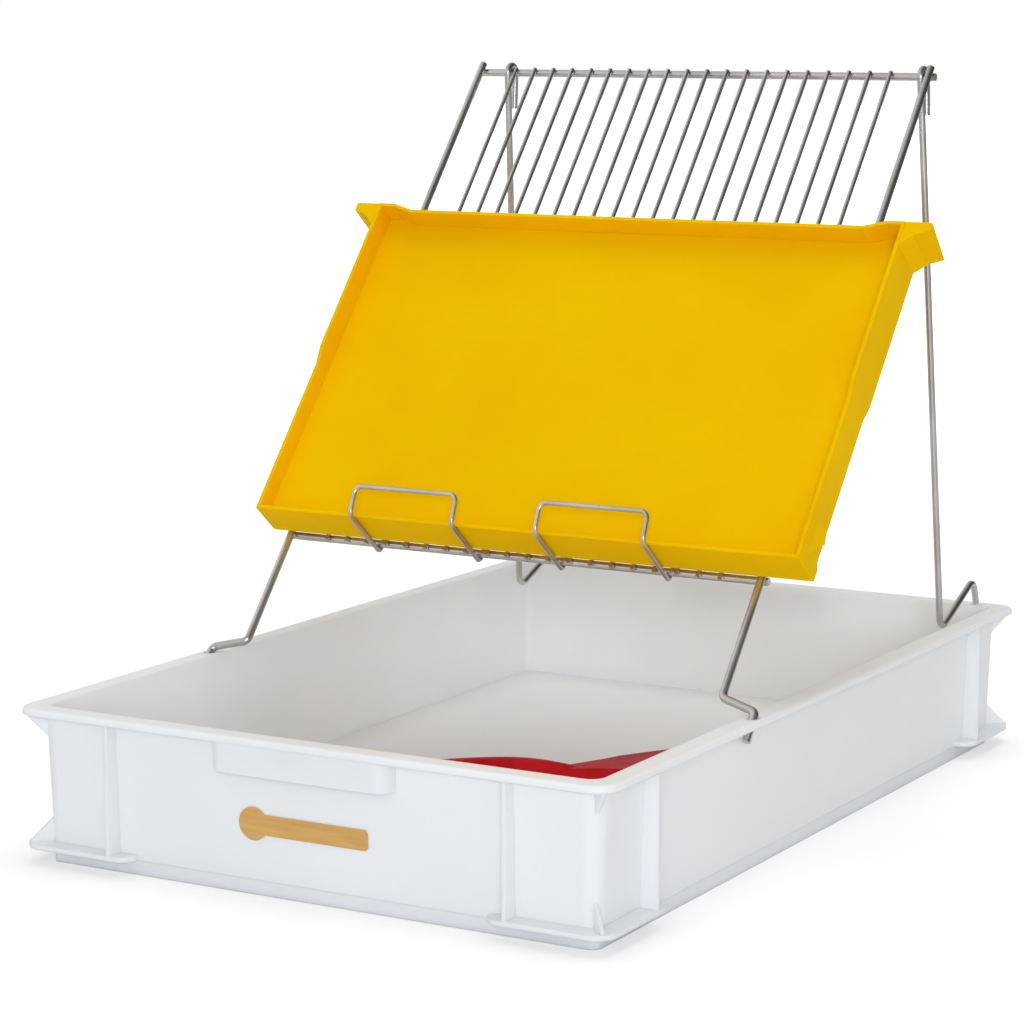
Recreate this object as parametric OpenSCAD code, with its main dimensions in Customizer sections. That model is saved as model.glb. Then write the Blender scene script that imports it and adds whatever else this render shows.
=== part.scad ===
// Uncapping tank: a plastic stacking tub with a wire rack that holds a comb frame at a slant.
// X runs across the tub, Y along it with the rear at +Y, Z up, and the ground is at Z = 0.

/* [Tub] */
// Length over the rim
tub_length = 600; // [540:1:660]
// Width over the rim
tub_width = 400; // [385:1:410]
// Height from the ground to the top of the rim
tub_height = 95; // [85:1:140]
// Thickness of the walls and of the floor
wall = 3; // [2.5:0.1:4]
// Width of the rim, from its outer edge to the opening
rim_width = 14; // [13:0.5:16]
// Radius of the rim's corners, seen from above
rim_corner = 15; // [12:1:22]
// Radius of the opening's corners at the rim
mouth_corner = 8.5; // [7:0.5:10]
// How far each wall leans in from the rim to the floor
draft = 3; // [2:0.5:5]
// Height of the floor's upper face above the ground
floor_z = 12; // [11:0.5:16]
// Height of the lip that hangs from the rim's edge
lip_height = 4; // [3.5:0.5:8]
// Thickness of the rim's flange and of its lip
rim_thick = 3; // [2.5:0.1:3.5]
// Thickness of the fins, the corner gussets and the ribs under the floor
fin_thick = 2.6; // [2:0.1:3.5]
// Distance of the fins on the ends from the middle of the tub
end_fin_x = 134; // [110:1:140]
// Distance of the fins on the long sides from the outer edge of the ends
side_fin_in = 64; // [50:1:70]
// Width of the shell grip at each end
grip_width = 120; // [100:1:130]
// Depth of the shell grip below the top of the rim
grip_drop = 21.5; // [18:0.5:26]

/* [Rack] */
// Slant of the rack above the horizontal
rack_angle = 50.4; // [47:0.1:54]
// Distance of the rim holes from the rear edge of the tub
hole_to_rear = 408.5; // [400:0.5:415]
// Diameter of the side rods and of the cross rods
rod_d = 5; // [4:0.1:5.5]
// Diameter of the grid wires and of the stop hooks
wire_d = 3; // [2.5:0.1:3.5]
// Height of the bottom cross rod along the slant, from the rim holes
bottom_s = 93; // [80:1:110]
// Height of the top cross rod along the slant, from the rim holes
top_s = 476.5; // [455:0.5:490]
// Step outwards of the crank at the foot of each side rod
crank_reach = 24; // [18:1:28]
// Drop of the crank from the rod to the rim hole, along the slant
crank_drop = 7; // [4:1:9]
// Length of the crank's tip below the rim's top, along the slant
crank_tip = 16; // [12:1:20]
// Radius of the bends in the side rods, on the centre line
crank_bend = 4.5; // [4:0.5:5]

/* [Rear legs] */
// Diameter of the rear legs
leg_d = 4.5; // [4:0.1:5]
// Distance that each leg splays outwards from top to bottom
leg_splay = 9; // [4:1:12]
// Length of the loose tail behind the top rod
leg_tail = 25; // [18:1:35]

/* [Comb frame] */
// Width of the frame without its lugs
frame_width = 384; // [376:1:396]
// Height of the frame, from the bottom bar to the middle of the top bar
frame_height = 237; // [200:1:260]
// Depth of the frame's upper half
frame_depth = 32; // [28:1:36]
// Thickness of the frame's bars
frame_wall = 2.4; // [2:0.1:3.2]
// Thickness of the panel in the middle of the frame
panel_thick = 2.2; // [1.6:0.1:3]
// Distance that each lug sticks out
lug_reach = 17.5; // [12:0.5:22]
// Sideways place of the frame on the rack
frame_shift = 12.3; // [6:0.1:14]

/* [Uncapping fork] */
// Length of the fork's handle
handle_length = 115; // [95:1:125]
// Largest radius of the handle
handle_r = 12; // [10:0.5:13]
// Width of the head at its front edge
head_width = 76; // [66:1:80]
// Length of the part of each tine that is out of the head
tine_length = 46; // [36:1:48]

/* [Hidden] */
$fn = 64;

// Clearance between pieces that rest on one another but are not joined
seat_gap = 0.3;
// Depth that welded wires sink into one another
weld_sink = 0.2;
// Swelling of the wire in its bends, and the length that each straight run reaches into a bend
bend_swell = 0.04;
bend_lap = 0.25;
// Height that the bend at the hole's edge keeps the crank above the rim, along the slant
crank_rise = 0.1;
// Extra length that carries a cut clear through a face
cut = 1;

// Tub: centre of the round corners of the walls, and of the rim
corner_x = tub_width/2 - rim_width - mouth_corner;
corner_y = tub_length/2 - rim_width - mouth_corner;
rim_x = tub_width/2 - rim_corner;
rim_y = tub_length/2 - rim_corner;
floor_under = floor_z - wall;
rim_under = tub_height - rim_thick;
edge_round = rim_thick - 0.5;
foot_inset = 1;
foot_wall = 4;
// Bottom flanges at the corners: inset from the rim, thickness, and length from the tub's ends
base_flange_in = 2;
base_flange_z = floor_z - 2.5;
base_flange_thick = 3;
tongue_past = 14;
tongue_x = end_fin_x - tongue_past;
tongue_y = tub_length/2 - side_fin_in - tongue_past;
tongue_round = 10;
fin_in = 2.6;
gusset_fall = 17;
grip_round = 9;
grip_shell = rim_thick - 0.3;
hole_r = rod_d/2 + 1.3;

// Rack: place of the holes, of the rods and of the wires
hole_x = tub_width/2 - rim_width/2;
rack_y = tub_length/2 - hole_to_rear;
rod_x = hole_x - crank_reach;
crank_s = (rod_d/2 + seat_gap)/sin(rack_angle) + crank_rise;
cross_n = weld_sink - rod_d;
wire_n = cross_n + (rod_d + wire_d)/2 - weld_sink;
wire_count = 20;
wire_pitch = (2*rod_x - 55)/(wire_count - 1);
cross_half = rod_x + 3;
hook_rod_s = bottom_s + rod_d + 3;

// Comb frame: levels above the rods and heights along the slant
frame_back = rod_d/2 + seat_gap;
frame_front = frame_back + frame_depth;
frame_step = 3.2;
bottom_bar = 9;
bar_round = 2.5;
panel_n = (frame_back + frame_front)/2;
hook_s = bottom_s - (rod_d + wire_d)/2 + weld_sink;
frame_s = hook_s + wire_d/2 + seat_gap;
frame_top_s = frame_s + frame_height;
frame_horn = 4.5;
horn_width = 12;
horn_slope = 15;
lug_root = 18;
lug_knee = 9.5;
lug_end = 6;
lug_lean = 5;
boss_rise = 2.6;

// Stop hooks: level of the tails under the cross rods, of the knee and of the front bar
hook_tail_n = cross_n - (rod_d + wire_d)/2 + weld_sink;
hook_knee_n = frame_front - frame_step + 4.9;
hook_bar_n = frame_front + 7.2;
hook_bar_s = hook_s + 18.3;
hook_x = 4.5*wire_pitch;
hook_half = 2.5*wire_pitch;

// Rear legs: the top rod's centre, the loop round it, and the crook that stands on the rim
top_y = rack_y + top_s*cos(rack_angle) - cross_n*sin(rack_angle);
top_z = tub_height + top_s*sin(rack_angle) + cross_n*cos(rack_angle);
loop_r = (rod_d + leg_d)/2 + seat_gap;
crook_in = 74.5;
crook_dip = 7.5;
peak_in = 14.5;
peak_rise = 18;
foot_in = 9.5;
crook_y = tub_length/2 - crook_in;
crook_z = tub_height - crook_dip;
peak_y = tub_length/2 - peak_in;
peak_z = tub_height + peak_rise;
foot_y = tub_length/2 - foot_in;
foot_slant = atan2(foot_y - peak_y, peak_z - tub_height);
splay_turn = asin(leg_splay/(top_z - crook_z));
foot_z = top_z - (top_z - tub_height - seat_gap - leg_d/2*(sin(foot_slant) + sin(splay_turn)))/cos(splay_turn);
leg_lean = atan2(crook_y - top_y, top_z - crook_z)
  + asin(loop_r/norm([crook_y - top_y, top_z - crook_z]));
left_leg_in = 22;
right_leg_in = 5.5;
left_leg_x = left_leg_in - rod_x;
right_leg_x = rod_x - right_leg_in;

// Fork: place on the floor, the head, and the row of tines
fork_aside = 30;
fork_behind = 79;
fork_place = [fork_aside, rack_y + fork_behind, floor_z];
fork_turn = 33;
fork_axis_z = handle_r + seat_gap;
head_base_z = 7;
head_thick = 13;
handle_swell = 0.6;
neck_top = 10.5;
neck_slope = 32;
head_front = 80;
head_edge = 8;
neck_half = 5;
shoulder_x = 22;
shoulder_half = 14;
tine_count = 22;
tine_d = 1.6;
tine_fit = 0.1;
tine_depth = 7;
tine_dip = 13.5;
tine_pitch = (head_width - 6.7)/(tine_count - 1);

function unit(v) = v/norm(v);

// Inner corner radius of the walls at a height: it shrinks by the draft towards the floor
function inner_r(z) = mouth_corner - draft*(tub_height - z)/(tub_height - floor_z);

// Angle by which a path turns at point i, and the length that its bend takes from each side
function turn_at(pts, i) = acos(unit(pts[i] - pts[i - 1])*unit(pts[i + 1] - pts[i]));
function setback(pts, bends, i) =
  (i == 0 || i == len(pts) - 1) ? 0 : bends[i]*tan(turn_at(pts, i)/2);

// Turns about X, Y and Z that carry the axes X, Y, Z onto three square unit directions
function axes_turn(e1, e2, e3) =
  e1.z > 0.99999 ? [atan2(-e2.x, e2.y), -90, 0] :
  e1.z < -0.99999 ? [atan2(e2.x, e2.y), 90, 0] :
  [atan2(e2.z, e3.z), -asin(e1.z), atan2(e1.y, e1.x)];

// A straight round rod between two points
module rod(a, b, d) {
  v = b - a;
  translate(a)
    rotate([0, acos(v.z/norm(v)), atan2(v.y, v.x)])
      cylinder(h = norm(v), d = d);
}

// A round bend at p, on the way from one point to the next, a little swollen as bent wire is
module bend(from, p, to, r, d) {
  d1 = unit(p - from);
  d2 = unit(to - p);
  turn = acos(d1*d2);
  start = p - d1*r*tan(turn/2);
  e3 = unit(cross(d1, d2));
  e1 = -cross(e3, d1);
  translate(start - r*e1)
    rotate(axes_turn(e1, d1, e3))
      rotate_extrude(angle = turn)
        translate([r, 0])
          circle(d = d + bend_swell);
}

// A wire along a row of points, with a bend radius at each inner point
module wire_path(pts, bends, d) {
  last = len(pts) - 1;
  for (i = [0:last - 1]) {
    along = unit(pts[i + 1] - pts[i]);
    from = i == 0 ? 0 : setback(pts, bends, i) - bend_lap;
    to = i == last - 1 ? 0 : setback(pts, bends, i + 1) - bend_lap;
    rod(pts[i] + along*from, pts[i + 1] - along*to, d);
  }
  for (i = [1:last - 1])
    bend(pts[i - 1], pts[i], pts[i + 1], bends[i], d);
}

// Places children on the slant: X across, Y up the slant, Z away from it, zero at the rim holes
module on_slope() {
  translate([0, rack_y, tub_height])
    rotate([rack_angle, 0, 0])
      children();
}

// The four corners, by mirror
module four_corners() {
  for (mx = [0, 1], my = [0, 1])
    mirror([mx, 0, 0])
      mirror([0, my, 0])
        children();
}

// Both ends, or both sides, by mirror
module both_ways(direction) {
  children();
  mirror(direction)
    children();
}

// A rectangle with round corners, centred
module rounded_rect(w, l, r) {
  square([w - 2*r, l], center = true);
  square([w, l - 2*r], center = true);
  for (sx = [-1, 1], sy = [-1, 1])
    translate([sx*(w/2 - r), sy*(l/2 - r)])
      circle(r);
}

// A box with sloping walls and round corners: the corner radius grows from r1 to r2
module tapered_box(half_x, half_y, r1, r2, z1, z2) {
  rotate([90, 0, 0])
    linear_extrude(height = 2*half_y, center = true)
      polygon([[-half_x - r1, z1], [half_x + r1, z1], [half_x + r2, z2], [-half_x - r2, z2]]);
  rotate([90, 0, 90])
    linear_extrude(height = 2*half_x, center = true)
      polygon([[-half_y - r1, z1], [half_y + r1, z1], [half_y + r2, z2], [-half_y - r2, z2]]);
  for (sx = [-1, 1], sy = [-1, 1])
    translate([sx*half_x, sy*half_y, z1])
      cylinder(h = z2 - z1, r1 = r1, r2 = r2);
}

// Cross-section of the rim from an inner edge: flange, hanging lip and the round edge between them
module rim_profile(inner) {
  translate([inner, rim_under])
    square([rim_corner - inner - edge_round, rim_thick]);
  translate([rim_corner - rim_thick, tub_height - lip_height])
    square([rim_thick, lip_height - edge_round]);
  translate([rim_corner - edge_round, tub_height - edge_round])
    circle(edge_round);
}

module tub_rim() {
  inner = rim_corner - rim_width - 4;
  both_ways([1, 0, 0])
    translate([rim_x, 0, 0])
      rotate([90, 0, 0])
        linear_extrude(height = 2*rim_y, center = true)
          rim_profile(inner);
  both_ways([0, 1, 0])
    translate([0, rim_y, 0])
      rotate([90, 0, 90])
        linear_extrude(height = 2*rim_x, center = true)
          rim_profile(inner);
  four_corners()
    translate([rim_x, rim_y, 0])
      rotate_extrude(angle = 90)
        rim_profile(max(0, inner));
}

// Foot ring under the floor, with a long rib, three cross ribs and a round boss in the middle
module tub_foot() {
  foot_w = 2*(corner_x + inner_r(floor_z) + wall - foot_inset);
  foot_l = 2*(corner_y + inner_r(floor_z) + wall - foot_inset);
  difference() {
    linear_extrude(height = floor_under + cut)
      rounded_rect(foot_w, foot_l, 6);
    translate([0, 0, -cut])
      linear_extrude(height = floor_under + cut)
        rounded_rect(foot_w - 2*foot_wall, foot_l - 2*foot_wall, 3);
  }
  linear_extrude(height = floor_under + cut)
    square([fin_thick, foot_l - 2*foot_wall + 2], center = true);
  for (k = [-1, 0, 1])
    translate([0, k*foot_l/4, 0])
      linear_extrude(height = floor_under + cut)
        square([foot_w - 2*foot_wall + 2, fin_thick], center = true);
  cylinder(h = floor_under + cut, r = 12);
}

// One rounded tongue of a bottom corner flange, from x1 to x2, with its outer edge at y2
module tongue(x1, x2, y1, y2) {
  translate([x1 + tongue_round, y1])
    square([x2 - x1 - tongue_round, y2 - y1]);
  translate([x1, y1])
    square([2*tongue_round, y2 - y1 - tongue_round]);
  translate([x1 + tongue_round, y2 - tongue_round])
    circle(tongue_round);
}

module base_flanges() {
  out_x = tub_width/2 - base_flange_in;
  out_y = tub_length/2 - base_flange_in;
  four_corners()
    translate([0, 0, base_flange_z])
      linear_extrude(height = base_flange_thick)
        intersection() {
          union() {
            tongue(tongue_x, out_x, corner_y - 10, out_y);
            mirror([1, -1, 0])
              tongue(tongue_y, out_y, corner_x - 10, out_x);
          }
          rounded_rect(2*out_x, 2*out_y, rim_corner - base_flange_in);
        }
}

// A fin that stands out from a wall whose rim edge is at edge
module fin(edge) {
  rotate([90, 0, 90])
    linear_extrude(height = fin_thick, center = true)
      polygon([
        [edge - rim_width - draft, base_flange_z],
        [edge - fin_in, base_flange_z],
        [edge - fin_in, rim_under + 1],
        [edge - rim_width - 1, rim_under + 1]
      ]);
}

module fins() {
  for (sx = [-1, 1])
    translate([sx*end_fin_x, 0, 0])
      both_ways([0, 1, 0])
        fin(tub_length/2);
  for (sy = [-1, 1])
    translate([0, sy*(tub_length/2 - side_fin_in), 0])
      both_ways([1, 0, 0])
        rotate([0, 0, -90])
          fin(tub_width/2);
}

// Diagonal gussets at the corners, under the rim and on the bottom flange
module corner_gussets() {
  reach = rim_corner - (rim_corner - rim_width - mouth_corner)*sqrt(2);
  base_top = base_flange_z + base_flange_thick;
  four_corners()
    translate([corner_x, corner_y, 0])
      rotate([90, 0, 45])
        linear_extrude(height = fin_thick, center = true) {
          polygon([
            [mouth_corner, rim_under + 1],
            [reach - 0.8, rim_under + 1],
            [reach - 0.8, tub_height - lip_height],
            [mouth_corner, tub_height - lip_height - gusset_fall]
          ]);
          polygon([
            [mouth_corner - draft, base_top - 1],
            [reach - base_flange_in - 1, base_top - 1],
            [reach - base_flange_in - 1, base_top + 0.8],
            [mouth_corner - draft, base_top + 0.8 + gusset_fall]
          ]);
        }
}

// Outline of the grip's shell, seen from above, with its front face at y = 0
module grip_outline(w, r, depth) {
  translate([-w/2 + r, -depth])
    square([w - 2*r, depth]);
  translate([-w/2, -depth])
    square([w, depth - r]);
  for (sx = [-1, 1])
    translate([sx*(w/2 - r), -r])
      circle(r);
}

// A shell that hangs from the rim at each end and leaves room for fingers behind it
module grips() {
  face = tub_length/2 - 0.3;
  both_ways([0, 1, 0])
    difference() {
      translate([0, face, tub_height - grip_drop])
        linear_extrude(height = grip_drop - rim_thick + 1)
          grip_outline(grip_width, grip_round, rim_width + 1);
      translate([0, face - grip_shell, tub_height - grip_drop - cut])
        linear_extrude(height = grip_drop - rim_thick + cut)
          grip_outline(grip_width - 2*grip_shell, grip_round - grip_shell, rim_width + 2);
    }
}

// Tub: one moulding with leaning walls, a lipped rim, fins, corner flanges and end grips
module tub() {
  color("whitesmoke")
    difference() {
      union() {
        tapered_box(corner_x, corner_y, inner_r(floor_under) + wall, inner_r(rim_under + 1) + wall,
          floor_under, rim_under + 1);
        tub_rim();
        tub_foot();
        base_flanges();
        fins();
        corner_gussets();
        grips();
      }
      tapered_box(corner_x, corner_y, inner_r(floor_z), inner_r(tub_height + cut),
        floor_z, tub_height + cut);
      on_slope()
        for (sx = [-1, 1])
          translate([sx*hole_x, -12, 0])
            rotate([-90, 0, 0])
              cylinder(h = 24, r = hole_r);
    }
}

// Side rod: straight up the slant, with a crank at its foot whose tip goes through the rim
module side_rod(side) {
  color("silver")
    on_slope()
      wire_path(
        [
          [side*rod_x, top_s + 4, 0],
          [side*rod_x, crank_s + crank_drop, 0],
          [side*hole_x, crank_s, 0],
          [side*hole_x, -crank_tip, 0]
        ],
        [0, crank_bend, crank_bend, 0],
        rod_d
      );
}

// Cross rod behind the side rods, at a height along the slant
module cross_rod(s) {
  color("silver")
    on_slope()
      rod([-cross_half, s, cross_n], [cross_half, s, cross_n], rod_d);
}

// Grid wire, counted from the left, welded on the cross rods
module grid_wire(index) {
  x = (index - (wire_count + 1)/2)*wire_pitch;
  color("silver")
    on_slope()
      rod([x, bottom_s - 3, wire_n], [x, top_s + 0.8, wire_n], wire_d);
}

// Stop hook: both tails under the cross rods, two arms below the frame, and a bar in front of it
module stop_hook(side) {
  left = side*hook_x - hook_half;
  right = side*hook_x + hook_half;
  tail_s = hook_rod_s + rod_d/2 + 1;
  color("silver")
    on_slope()
      wire_path(
        [
          [left, tail_s, hook_tail_n],
          [left, hook_s, hook_tail_n],
          [left, hook_s, hook_knee_n],
          [left, hook_bar_s, hook_bar_n],
          [right, hook_bar_s, hook_bar_n],
          [right, hook_s, hook_knee_n],
          [right, hook_s, hook_tail_n],
          [right, tail_s, hook_tail_n]
        ],
        [0, 3, 5, 5, 5, 5, 3, 0],
        wire_d
      );
}

// Rear leg: a loop over the top rod, a long straight and a crook that stands on the rear rim
module rear_leg(x, side) {
  down = [0, sin(leg_lean), -cos(leg_lean)];
  loop_end = loop_r*[0, -cos(leg_lean), -sin(leg_lean)];
  color("silver")
    translate([x, top_y, top_z])
      rotate([0, -side*splay_turn, 0]) {
        rod([0, loop_r, -leg_tail], [0, loop_r, bend_lap], leg_d);
        rotate([90, 0, 90])
          rotate_extrude(angle = 180 + leg_lean)
            translate([loop_r, 0])
              circle(d = leg_d + bend_swell);
        wire_path(
          [
            loop_end - down*bend_lap,
            [0, crook_y - top_y, crook_z - top_z],
            [0, peak_y - top_y, peak_z - top_z],
            [0, foot_y - top_y, foot_z - top_z]
          ],
          [0, 6, 7, 0],
          leg_d
        );
      }
}

// Outline of the comb frame seen from the front: the top bar rises to a horn at each end
module frame_outline(inset) {
  w = frame_width/2 - inset;
  low = frame_s + inset;
  mid = frame_top_s - inset;
  high = frame_top_s + frame_horn - inset;
  horn = frame_width/2 - horn_width;
  slope = horn - horn_slope;
  polygon([[-w, low], [w, low], [w, high], [horn, high], [slope, mid], [-slope, mid], [-horn, high], [-w, high]]);
}

// Side view of the frame's bars: the lower half is thinner, so that combs keep their distance,
// and the bottom bar reaches back to the rack again
module frame_side() {
  step = frame_s + frame_height*0.5;
  back = frame_back + frame_step;
  front = frame_front - frame_step;
  top = frame_top_s + frame_horn;
  polygon([
    [frame_s, frame_back + bar_round], [frame_s + bar_round, frame_back], [frame_s + bottom_bar, frame_back],
    [frame_s + bottom_bar + frame_step, back], [step - 6, back], [step + 6, frame_back],
    [top, frame_back], [top, frame_front], [step + 6, frame_front], [step - 6, front], [frame_s, front]
  ]);
  translate([frame_s + bar_round, frame_back + bar_round])
    circle(bar_round);
}

// Lug at the end of the top bar: level above, slanting below, and falling away to the back
module frame_lug() {
  root = frame_width/2 - 1;
  knee = frame_width/2 + lug_reach*0.45;
  tip = frame_width/2 + lug_reach;
  top = frame_top_s + frame_horn - 0.2;
  intersection() {
    linear_extrude(height = frame_front + 1)
      polygon([[root, top - lug_root], [knee, top - lug_knee], [tip, top - lug_end], [tip, top], [root, top]]);
    rotate([90, 0, 90])
      linear_extrude(height = tip + 1)
        polygon([
          [top - 2*lug_root, frame_back + 0.2], [top - lug_lean, frame_back + 0.2],
          [top + 0.5, frame_front - 0.2], [top - 2*lug_root, frame_front - 0.2]
        ]);
  }
}

// Wedge-shaped boss on a side bar near the bottom, flush at its front edge and proud at the back
module frame_boss() {
  flush_n = panel_n + 2.8;
  proud_n = panel_n - 9.8;
  translate([frame_width/2, 0, 0])
    intersection() {
      rotate([90, 0, 90])
        translate([0, 0, -1])
          linear_extrude(height = boss_rise + 1)
            polygon([
              [frame_s + 34, flush_n], [frame_s + 31, panel_n - 7.8],
              [frame_s + 23, proud_n], [frame_s + 7.4, flush_n]
            ]);
      translate([0, frame_s + 40, 0])
        rotate([90, 0, 0])
          linear_extrude(height = 40)
            polygon([[-1, flush_n], [0, flush_n], [boss_rise, proud_n], [-1, proud_n]]);
    }
}

// Comb frame: thin bars round a panel, with two lugs, leaning on the side rods
module comb_frame() {
  color("gold")
    on_slope()
      translate([frame_shift, 0, 0]) {
        intersection() {
          difference() {
            linear_extrude(height = frame_front + 1)
              frame_outline(0);
            translate([0, 0, panel_n + panel_thick/2])
              linear_extrude(height = frame_depth)
                frame_outline(frame_wall);
            translate([0, 0, panel_n - panel_thick/2 - frame_depth])
              linear_extrude(height = frame_depth)
                frame_outline(frame_wall);
          }
          rotate([90, 0, 90])
            linear_extrude(height = frame_width + 2, center = true)
              frame_side();
        }
        both_ways([1, 0, 0]) {
          frame_lug();
          frame_boss();
        }
      }
}

// Places children on the floor of the tub where the fork lies: X runs from handle to tines
module on_floor() {
  translate(fork_place)
    rotate([0, 0, fork_turn])
      children();
}

// Row of rods along the tines, from a depth inside the head to a length outside it
module tine_row(d, depth, out) {
  for (k = [0:tine_count - 1])
    translate([head_front, (k - (tine_count - 1)/2)*tine_pitch, head_base_z + head_thick/2])
      rotate([0, 90 + tine_dip, 0])
        translate([0, 0, -depth])
          cylinder(h = depth + out, d = d);
}

// Share of the handle's radius lost on the way from its swell to the round end and to the neck
function handle_loss(t) = t > handle_swell
  ? 0.5*pow((t - handle_swell)/(1 - handle_swell), 2)
  : 0.3*pow((handle_swell - t)/handle_swell, 2);

// Radius of the handle: a round end, a swell past the middle and a neck at the head
function handle_at(t) = handle_r*(1 - handle_loss(t))*min(1, sqrt(1 - pow(1 - min(1, t*8 + 0.25), 2)));

// Side view of the head: level underneath, rising on top from the neck
module head_side() {
  polygon([
    [-4, head_base_z], [head_front + 1, head_base_z],
    [head_front + 1, head_base_z + head_thick], [neck_slope, head_base_z + head_thick],
    [-4, head_base_z + neck_top]
  ]);
}

// Fork handle: a turned grip and a flared head in one moulding
module fork_handle() {
  steps = 24;
  color("crimson")
    on_floor()
      difference() {
        union() {
          translate([0, 0, fork_axis_z])
            rotate([0, 90, 0])
              rotate_extrude()
                polygon(concat(
                  [[0, -handle_length]],
                  [for (k = [0:steps]) [handle_at(k/steps), -handle_length + k/steps*handle_length]],
                  [[0, 0]]
                ));
          intersection() {
            linear_extrude(height = head_base_z + head_thick + 1)
              polygon([
                [-4, -neck_half], [shoulder_x, -shoulder_half],
                [head_front - head_edge, -head_width/2], [head_front, -head_width/2],
                [head_front, head_width/2], [head_front - head_edge, head_width/2],
                [shoulder_x, shoulder_half], [-4, neck_half]
              ]);
            rotate([90, 0, 0])
              linear_extrude(height = head_width + 2, center = true)
                head_side();
          }
        }
        tine_row(tine_d + 2*tine_fit, tine_depth, 3);
      }
}

// Fork tines: a row of steel needles held in the head
module fork_tines() {
  color("silver")
    on_floor()
      tine_row(tine_d, tine_depth - 0.2, tine_length);
}

tub();
side_rod(-1);  // left_side_rod
side_rod(1);  // right_side_rod
cross_rod(top_s);  // top_cross_rod
cross_rod(bottom_s);  // bottom_cross_rod
cross_rod(hook_rod_s);  // hook_cross_rod
grid_wire(1);  // grid_wire_01
grid_wire(2);  // grid_wire_02
grid_wire(3);  // grid_wire_03
grid_wire(4);  // grid_wire_04
grid_wire(5);  // grid_wire_05
grid_wire(6);  // grid_wire_06
grid_wire(7);  // grid_wire_07
grid_wire(8);  // grid_wire_08
grid_wire(9);  // grid_wire_09
grid_wire(10);  // grid_wire_10
grid_wire(11);  // grid_wire_11
grid_wire(12);  // grid_wire_12
grid_wire(13);  // grid_wire_13
grid_wire(14);  // grid_wire_14
grid_wire(15);  // grid_wire_15
grid_wire(16);  // grid_wire_16
grid_wire(17);  // grid_wire_17
grid_wire(18);  // grid_wire_18
grid_wire(19);  // grid_wire_19
grid_wire(20);  // grid_wire_20
stop_hook(-1);  // left_stop_hook
stop_hook(1);  // right_stop_hook
rear_leg(left_leg_x, -1);  // left_rear_leg
rear_leg(right_leg_x, 1);  // right_rear_leg
comb_frame();
fork_handle();
fork_tines();
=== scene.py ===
# %% [markdown]
# # Uncapping tank
# A beekeeper leans a comb frame on the wire rack, cuts or combs the wax caps off, and lets
# honey and wax fall into the white tub below. The solids of the tub, the rack, the frame and
# the fork come in ready-made and keep their places. This lesson gives them their finishes, adds
# the blank label on the tub, and sets up the floor, the light and the camera.

# %% Load the solids
import math

import bmesh
import bpy
from mathutils import Matrix, Vector


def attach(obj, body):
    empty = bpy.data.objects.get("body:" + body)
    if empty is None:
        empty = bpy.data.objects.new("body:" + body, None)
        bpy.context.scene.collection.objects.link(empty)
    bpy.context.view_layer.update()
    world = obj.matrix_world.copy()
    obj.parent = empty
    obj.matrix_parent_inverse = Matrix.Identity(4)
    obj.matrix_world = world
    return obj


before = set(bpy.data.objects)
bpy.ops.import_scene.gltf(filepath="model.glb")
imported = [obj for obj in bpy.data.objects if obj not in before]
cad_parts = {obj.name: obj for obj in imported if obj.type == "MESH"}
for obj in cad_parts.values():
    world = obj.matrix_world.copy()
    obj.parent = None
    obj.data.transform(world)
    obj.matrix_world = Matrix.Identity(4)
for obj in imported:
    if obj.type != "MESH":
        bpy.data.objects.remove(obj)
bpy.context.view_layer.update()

# %% [markdown]
# ## Three helpers for materials
# Colours are easiest to read as the hex values that a colour picker shows, but shaders work in
# linear light, so one function converts them. A second function adds a node, fills in its
# sockets or settings, and links it, which keeps every material below short enough to read. A
# third starts each material with one shader and nothing else.

# %% Colour and node helpers
def linear(hex_value):
    """An sRGB hex colour as linear red, green, blue and alpha."""
    parts = [int(hex_value[i:i + 2], 16) / 255 for i in (1, 3, 5)]
    return [c / 12.92 if c <= 0.04045 else ((c + 0.055) / 1.055) ** 2.4 for c in parts] + [1.0]


def add(tree, kind, values=None, links=None):
    """Adds a node: values fills sockets or settings by name, links joins sockets to outputs."""
    node = tree.nodes.new(kind)
    for name, value in (values or {}).items():
        if isinstance(name, str) and hasattr(node, name):
            setattr(node, name, value)
        else:
            node.inputs[name].default_value = value
    for name, output in (links or {}).items():
        tree.links.new(output, node.inputs[name])
    return node


def blank_material(name):
    """A material whose node tree holds only a Principled shader and the output."""
    material = bpy.data.materials.new(name)
    material.use_nodes = True
    tree = material.node_tree
    tree.nodes.clear()
    shader = add(tree, "ShaderNodeBsdfPrincipled")
    add(tree, "ShaderNodeOutputMaterial", links={"Surface": shader.outputs["BSDF"]})
    return material, tree, shader


print("white is", [round(c, 3) for c in linear("#FFFFFF")])

# %% [markdown]
# ## Moulded plastic
# The tub is injection-moulded polypropylene, the frame and the fork's handle are smaller
# mouldings. All three are a solid colour right through, so the look comes from small things:
# a cloudy drift of the colour where the melt flowed, a fine grain that the steel mould left,
# a gloss that changes where hands and tools have rubbed, and edges that are never quite sharp.
# Noise at three real sizes gives the drift, the rubbing and the grain, and a Bevel node rounds
# the edges in the shading without touching the solids.

# %% The plastic recipe
MM = 0.001
RUB_MM = 22
PLASTIC_IOR = 1.49
# Most of a noise texture's values lie between these two.
NOISE_LOW, NOISE_HIGH = 0.3, 0.7


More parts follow.
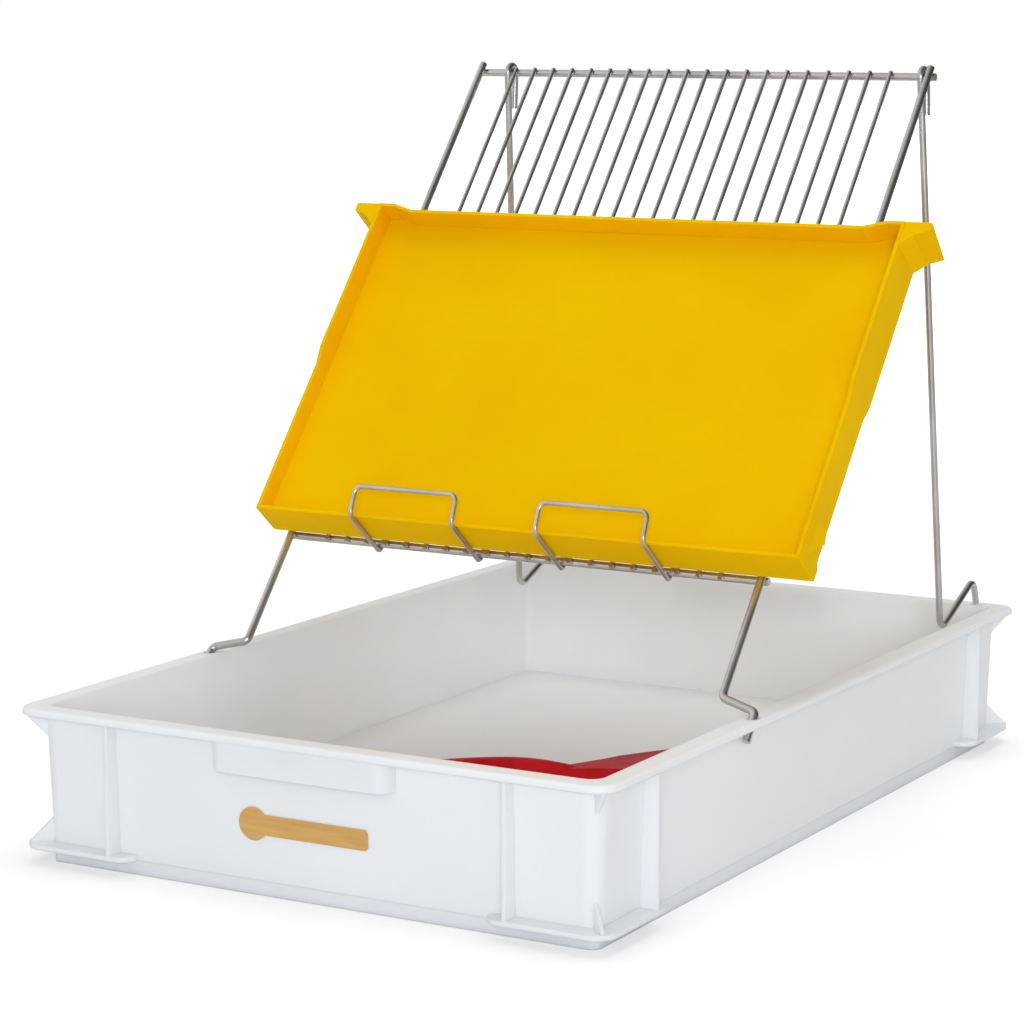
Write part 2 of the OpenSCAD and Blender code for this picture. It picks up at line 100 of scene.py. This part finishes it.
def moulded_plastic(name, clouds, rough, cloud_mm, grain_mm, grain_depth_mm, edge_mm):
    """Plastic with a clouded colour, rubbed gloss, moulded grain and softened edges."""
    material, tree, shader = blank_material(name)
    place = add(tree, "ShaderNodeTexCoord").outputs["Object"]
    drift = add(
        tree, "ShaderNodeTexNoise", {"Scale": 1 / (cloud_mm * MM), "Detail": 3.0},
        {"Vector": place})
    tint = add(tree, "ShaderNodeValToRGB", links={"Fac": drift.outputs["Fac"]})
    for stop, position, hex_value in zip(tint.color_ramp.elements, (0.35, 0.65), clouds):
        stop.position = position
        stop.color = linear(hex_value)
    tree.links.new(tint.outputs["Color"], shader.inputs["Base Color"])
    rub = add(
        tree, "ShaderNodeTexNoise",
        {"Scale": 1 / (RUB_MM * MM), "Detail": 6.0, "Roughness": 0.7}, {"Vector": place})
    gloss = add(
        tree, "ShaderNodeMapRange",
        {"From Min": NOISE_LOW, "From Max": NOISE_HIGH, "To Min": rough[0], "To Max": rough[1]},
        {"Value": rub.outputs["Fac"]})
    tree.links.new(gloss.outputs["Result"], shader.inputs["Roughness"])
    grain = add(
        tree, "ShaderNodeTexNoise", {"Scale": 1 / (grain_mm * MM), "Detail": 2.0},
        {"Vector": place})
    edge = add(tree, "ShaderNodeBevel", {"samples": 4, "Radius": edge_mm * MM})
    bump = add(
        tree, "ShaderNodeBump", {"Strength": 0.35, "Distance": grain_depth_mm * MM},
        {"Height": grain.outputs["Fac"], "Normal": edge.outputs["Normal"]})
    tree.links.new(bump.outputs["Normal"], shader.inputs["Normal"])
    shader.inputs["IOR"].default_value = PLASTIC_IOR
    print("plastic:", name)
    return material, shader


print("rubbed patches of", RUB_MM, "mm")

# %% [markdown]
# ## Three plastics
# Each plastic is the recipe with its own colours, gloss and sizes. Thin polypropylene lets some
# light into its skin, which subsurface scattering over a few millimetres gives. The yellow and
# red pieces show almost no mirror shine in the picture, so their specular level is turned down.

# %% Plastic materials
# White polypropylene, moulded: milky and satin.
white_pp, white_shader = moulded_plastic(
    "moulded_white_polypropylene", clouds=("#EEEFEF", "#F3F4F4"), rough=(0.29, 0.4),
    cloud_mm=140, grain_mm=2.4, grain_depth_mm=0.05, edge_mm=0.9)
white_shader.inputs["Subsurface Weight"].default_value = 0.6
white_shader.inputs["Subsurface Radius"].default_value = (1.0, 0.95, 0.85)
white_shader.inputs["Subsurface Scale"].default_value = 6 * MM
# Yellow polypropylene, moulded: strong chrome yellow, nearly matt, with soft flow clouds.
yellow_pp, yellow_shader = moulded_plastic(
    "moulded_yellow_polypropylene", clouds=("#F0BA00", "#F4C000"), rough=(0.5, 0.62),
    cloud_mm=90, grain_mm=1.6, grain_depth_mm=0.04, edge_mm=0.5)
yellow_shader.inputs["Specular IOR Level"].default_value = 0.02
yellow_shader.inputs["Subsurface Weight"].default_value = 0.5
yellow_shader.inputs["Subsurface Radius"].default_value = (1.0, 0.7, 0.1)
yellow_shader.inputs["Subsurface Scale"].default_value = 5 * MM
# Red polystyrene, moulded: a clear deep red, smooth, with a weak sheen.
red_ps, red_shader = moulded_plastic(
    "moulded_red_polystyrene", clouds=("#B0161C", "#D7222A"), rough=(0.28, 0.36),
    cloud_mm=40, grain_mm=2.0, grain_depth_mm=0.02, edge_mm=1.2)
red_shader.inputs["Specular IOR Level"].default_value = 0.03
print("plastics:", white_pp.name, yellow_pp.name, red_ps.name)

# %% [markdown]
# ## Drawn steel wire
# The rack is stainless wire. Wire is pulled through a die, which leaves long fine lines along
# it, so the roughness streaks run with each wire: up the slant for the side rods and the grid,
# across for the cross rods, and upright for the legs. Stretching a noise along one direction
# with a Mapping node draws those lines. The real lines are a few hundredths of a millimetre
# apart, too fine for the picture, so they are drawn about a millimetre apart.

# %% Steel materials
SLANT = 50.4
NEEDLE_TURN = -57
LINE_SIZE = (1.0 * MM, 200 * MM, 1.0 * MM)
STAIN_MM = 30


def drawn_steel(name, turn_deg, stains, rough):
    """Steel wire whose drawing lines run along its local Y axis after a turn in degrees."""
    material, tree, shader = blank_material(name)
    place = add(tree, "ShaderNodeTexCoord").outputs["Object"]
    turn = [math.radians(a) for a in turn_deg]
    line_up = add(
        tree, "ShaderNodeMapping",
        {"vector_type": "TEXTURE", "Rotation": turn, "Scale": LINE_SIZE}, {"Vector": place})
    lines = add(
        tree, "ShaderNodeTexNoise", {"Scale": 1.0, "Detail": 2.0},
        {"Vector": line_up.outputs["Vector"]})
    stain = add(
        tree, "ShaderNodeTexNoise", {"Scale": 1 / (STAIN_MM * MM), "Detail": 4.0},
        {"Vector": place})
    tint = add(tree, "ShaderNodeValToRGB", links={"Fac": stain.outputs["Fac"]})
    for stop, position, hex_value in zip(tint.color_ramp.elements, (0.3, 0.62), stains):
        stop.position = position
        stop.color = linear(hex_value)
    tree.links.new(tint.outputs["Color"], shader.inputs["Base Color"])
    gloss = add(
        tree, "ShaderNodeMapRange",
        {"From Min": NOISE_LOW, "From Max": NOISE_HIGH, "To Min": rough[0], "To Max": rough[1]},
        {"Value": lines.outputs["Fac"]})
    tree.links.new(gloss.outputs["Result"], shader.inputs["Roughness"])
    shader.inputs["Metallic"].default_value = 1.0
    print("steel:", name)
    return material


# Stainless wire, drawn: light grey and satin, with a bright and a dark side along each wire.
WIRE = {"stains": ("#B9B6B1", "#D2D0CC"), "rough": (0.28, 0.34)}
steel_slant = drawn_steel("drawn_stainless_wire_slanted", (SLANT, 0, 0), **WIRE)
steel_across = drawn_steel("drawn_stainless_wire_across", (0, 0, 90), **WIRE)
steel_upright = drawn_steel("drawn_stainless_wire_upright", (90, 0, 0), **WIRE)
# Needle steel, polished: a little cooler and shinier than the wire.
steel_needle = drawn_steel(
    "polished_needle_steel", (0, 0, NEEDLE_TURN), ("#AFAEAB", "#C4C3C0"), (0.12, 0.24))

# %% [markdown]
# ## Dressing the solids
# Each solid keeps its shape and place and only gets a finish in its material slot. A table from
# the start of a name to a finish covers the twenty grid wires in one line.

# %% Give every solid its finish
finish_of = {
    "tub": white_pp,
    "comb_frame": yellow_pp,
    "fork_handle": red_ps,
    "fork_tines": steel_needle,
    "grid_wire": steel_slant,
    "left_side_rod": steel_slant,
    "right_side_rod": steel_slant,
    "left_stop_hook": steel_slant,
    "right_stop_hook": steel_slant,
    "top_cross_rod": steel_across,
    "bottom_cross_rod": steel_across,
    "hook_cross_rod": steel_across,
    "left_rear_leg": steel_upright,
    "right_rear_leg": steel_upright,
}
for name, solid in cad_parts.items():
    finish = next(m for start, m in finish_of.items() if name.startswith(start))
    for slot in solid.material_slots:
        slot.material = finish
print("dressed", len(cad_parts), "solids")

# %% [markdown]
# ## The blank label
# A small amber label sticks on the tub's front wall: a bar with a round head at its left end.
# It is left plain here. The wall leans outwards by the mould's draft, so the label is made flat
# at the origin first, then turned and moved onto the wall. One point spun about the head's
# centre draws the head, from where the bar leaves it round to the other side. Two more points
# close the bar, one face fills the outline, and a bevel rounds the bar's two right-hand
# corners. Pulled out by the thickness of a film, that face is all that it needs.

# %% Make the label
# The wall leans out by 3 mm over a height of 83 mm.
WALL_LEAN = math.atan2(3.0, 83.0)
LABEL_SIZE = (87.5 * MM, 12.2 * MM)
LABEL_CENTRE = Vector((-3.0 * MM, -287.12 * MM, 42.6 * MM))
HEAD_RADIUS = 9.9 * MM
CORNER_RADIUS = 2.5 * MM
FILM_THICKNESS = 0.35 * MM


def film_label(name, size, head, corner, film, place):
    """A thin bar with a round head: an outline, one face over it, then the film's thickness."""
    half, high = size[0] / 2, size[1] / 2
    meet = math.asin(high / head)
    centre = Vector((head - half, 0, 0))
    bm = bmesh.new()
    upper = bm.verts.new(centre + head * Vector((math.cos(meet), math.sin(meet), 0)))
    swept = bmesh.ops.spin(
        bm, geom=[upper], cent=centre, axis=(0, 0, 1), angle=math.tau - 2 * meet, steps=48)
    lower = swept["geom_last"][0]
    ends = [bm.verts.new((half, -high, 0)), bm.verts.new((half, high, 0))]
    for pair in ((lower, ends[0]), ends, (ends[1], upper)):
        bm.edges.new(pair)
    bmesh.ops.contextual_create(bm, geom=bm.edges[:])
    bmesh.ops.bevel(
        bm, geom=ends, offset=corner, offset_type="OFFSET", affect="VERTICES",
        segments=8, profile=0.5, material=-1)
    pulled = bmesh.ops.extrude_face_region(bm, geom=bm.faces[:])
    top = [v for v in pulled["geom"] if isinstance(v, bmesh.types.BMVert)]
    bmesh.ops.translate(bm, vec=(0, 0, film), verts=top)
    bmesh.ops.recalc_face_normals(bm, faces=bm.faces)
    bmesh.ops.transform(bm, matrix=place, verts=bm.verts)
    mesh = bpy.data.meshes.new(name)
    bm.to_mesh(mesh)
    bm.free()
    piece = bpy.data.objects.new(name, mesh)
    bpy.context.collection.objects.link(piece)
    return piece


on_wall = (
    Matrix.Translation(LABEL_CENTRE) @ Matrix.Rotation(math.radians(90) + WALL_LEAN, 4, "X"))
label = film_label(
    "blank_label", LABEL_SIZE, HEAD_RADIUS, CORNER_RADIUS, FILM_THICKNESS, on_wall)
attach(label, "tub")
print("label width in metres:", LABEL_SIZE[0])

# %% [markdown]
# The label is an amber vinyl film: slightly glossy, with a faint streaked print of its colour.
# The streaks run along it, a few millimetres wide.

# %% Finish of the label
STREAK_SIZE = (40 * MM, 3 * MM, 3 * MM)
amber_film, tree, shader = blank_material("amber_vinyl_film")
place = add(tree, "ShaderNodeTexCoord").outputs["Object"]
stretch = add(
    tree, "ShaderNodeMapping", {"vector_type": "TEXTURE", "Scale": STREAK_SIZE},
    {"Vector": place})
streak = add(
    tree, "ShaderNodeTexNoise", {"Scale": 1.0, "Detail": 3.0},
    {"Vector": stretch.outputs["Vector"]})
tint = add(tree, "ShaderNodeValToRGB", links={"Fac": streak.outputs["Fac"]})
ambers = ("#CF9C4E", "#DCAF62")
for stop, position, hex_value in zip(tint.color_ramp.elements, (NOISE_LOW, NOISE_HIGH), ambers):
    stop.position = position
    stop.color = linear(hex_value)
tree.links.new(tint.outputs["Color"], shader.inputs["Base Color"])
shader.inputs["Roughness"].default_value = 0.35
label.data.materials.append(amber_film)
print("label finish:", amber_film.name)

# %% [markdown]
# ## Floor
# A wide pale floor carries the shadow. It also sends a little light of its own to the camera
# alone, more with distance, so that it fades into the white background without a horizon and
# without more light on the object.

# %% Floor
FLOOR_HALF = 15.0
# Distance from the middle in metres, and the glow that the camera sees there.
GLOW = {"From Min": 0.5, "To Min": 0.31, "From Max": 2.5, "To Max": 1.0}
floor_mesh = bpy.data.meshes.new("floor")
bm = bmesh.new()
bmesh.ops.create_grid(bm, x_segments=1, y_segments=1, size=FLOOR_HALF)
bm.to_mesh(floor_mesh)
bm.free()
floor = bpy.data.objects.new("floor", floor_mesh)
bpy.context.collection.objects.link(floor)

pale, tree, shader = blank_material("pale_studio_floor")
shader.inputs["Base Color"].default_value = linear("#EFEFEF")
shader.inputs["Roughness"].default_value = 0.9
shader.inputs["Specular IOR Level"].default_value = 0.1
place = add(tree, "ShaderNodeTexCoord").outputs["Object"]
away = add(tree, "ShaderNodeVectorMath", {"operation": "LENGTH"}, {0: place})
rise = add(tree, "ShaderNodeMapRange", GLOW, {"Value": away.outputs["Value"]})
seen = add(tree, "ShaderNodeLightPath").outputs["Is Camera Ray"]
glow = add(
    tree, "ShaderNodeMath", {"operation": "MULTIPLY"}, {0: seen, 1: rise.outputs["Result"]})
tree.links.new(glow.outputs["Value"], shader.inputs["Emission Strength"])
shader.inputs["Emission Color"].default_value = linear("#FFFFFF")
floor_mesh.materials.append(pale)
print("floor", 2 * FLOOR_HALF, "metres wide")

# %% [markdown]
# ## Background
# The sky lights everything evenly, and the camera sees it as white. Shiny wire looks dull in an
# even white room, so what it mirrors is lighter on the left and darker on the right, like a
# studio with one window: that gives each wire a bright and a dark side. A Mix node keeps sockets
# for several kinds of data: 0 is its factor, 2 and 3 are its two plain numbers.

# %% Background
WINDOW_SIDE = (-0.95, -0.3, 0.0)
# How far a direction points to the window, and the level that the wire mirrors there.
ROOM = {"From Min": -0.6, "To Min": 0.05, "From Max": 0.8, "To Max": 1.0}
EVEN_LIGHT = 0.54
WHITE_LEVEL = 1.0
world = bpy.data.worlds.new("studio")
bpy.context.scene.world = world
world.use_nodes = True
tree = world.node_tree
tree.nodes.clear()
path = add(tree, "ShaderNodeLightPath")
toward = add(tree, "ShaderNodeTexCoord").outputs["Generated"]
aside = add(
    tree, "ShaderNodeVectorMath", {"operation": "DOT_PRODUCT", 1: WINDOW_SIDE}, {0: toward})
room = add(tree, "ShaderNodeMapRange", ROOM, {"Value": aside.outputs["Value"]})
mirrored = add(
    tree, "ShaderNodeMix", {2: EVEN_LIGHT},
    {0: path.outputs["Is Glossy Ray"], 3: room.outputs["Result"]})
level = add(
    tree, "ShaderNodeMix", {3: WHITE_LEVEL},
    {0: path.outputs["Is Camera Ray"], 2: mirrored.outputs[0]})
sky = add(
    tree, "ShaderNodeBackground", {"Color": linear("#FFFFFF")}, {"Strength": level.outputs[0]})
add(tree, "ShaderNodeOutputWorld", links={"Surface": sky.outputs["Background"]})
print("background:", world.name)

# %% [markdown]
# ## Lamps
# A soft key lamp stands behind the camera, near its line of sight and a little cool, so the faces
# turned to the camera are the brightest and their shadows hide behind them. It stands far off,
# so that the back of the tub gets almost as much of it as the front. A large lamp above lights
# the rim and the floor of the tub. Mirrors don't see it, because the wire would show it as a
# white stripe. A weak lamp from the right keeps that side from going flat.

# %% Lamps
def softbox(name, place, aim, size, watts, tint):
    """A square area lamp at place that faces aim, with a hex tint."""
    lamp = bpy.data.lights.new(name, "AREA")
    lamp.shape = "SQUARE"
    lamp.size = size
    lamp.energy = watts
    lamp.color = linear(tint)[:3]
    holder = bpy.data.objects.new(name, lamp)
    holder.location = place
    holder.rotation_euler = (Vector(aim) - Vector(place)).to_track_quat("-Z", "Y").to_euler()
    bpy.context.collection.objects.link(holder)
    return holder


MIDDLE = (0, 0, 0.15)
key_lamp = softbox(
    "key_softbox", (2.8, -5.0, 1.35), MIDDLE, size=1.6, watts=119, tint="#EEF5FF")
side_lamp = softbox(
    "side_softbox", (2.4, -0.4, 1.3), MIDDLE, size=1.4, watts=1, tint="#FFFFFF")
top_lamp = softbox(
    "top_softbox", (0.0, 0.3, 2.6), MIDDLE, size=2.0, watts=20, tint="#FFFFFF")
top_lamp.visible_glossy = False
print("lamps:", key_lamp.name, side_lamp.name, top_lamp.name)

# %% [markdown]
# ## Camera
# The picture was taken from the front right, a little above the rim, with a long lens. The
# camera stands about two metres away at that angle.

# %% Camera
camera_data = bpy.data.cameras.new("camera")
camera_data.sensor_width = 36.0
camera_data.lens = 109.5
camera_data.shift_x = -0.0124
camera = bpy.data.objects.new("camera", camera_data)
camera.location = (0.9565, -1.7117, 0.4974)
camera.rotation_euler = (math.radians(80.98), 0.0, math.radians(29.77))
bpy.context.collection.objects.link(camera)
bpy.context.scene.camera = camera
bpy.context.scene.view_settings.view_transform = "Standard"
print("camera at", tuple(round(c, 3) for c in camera.location))
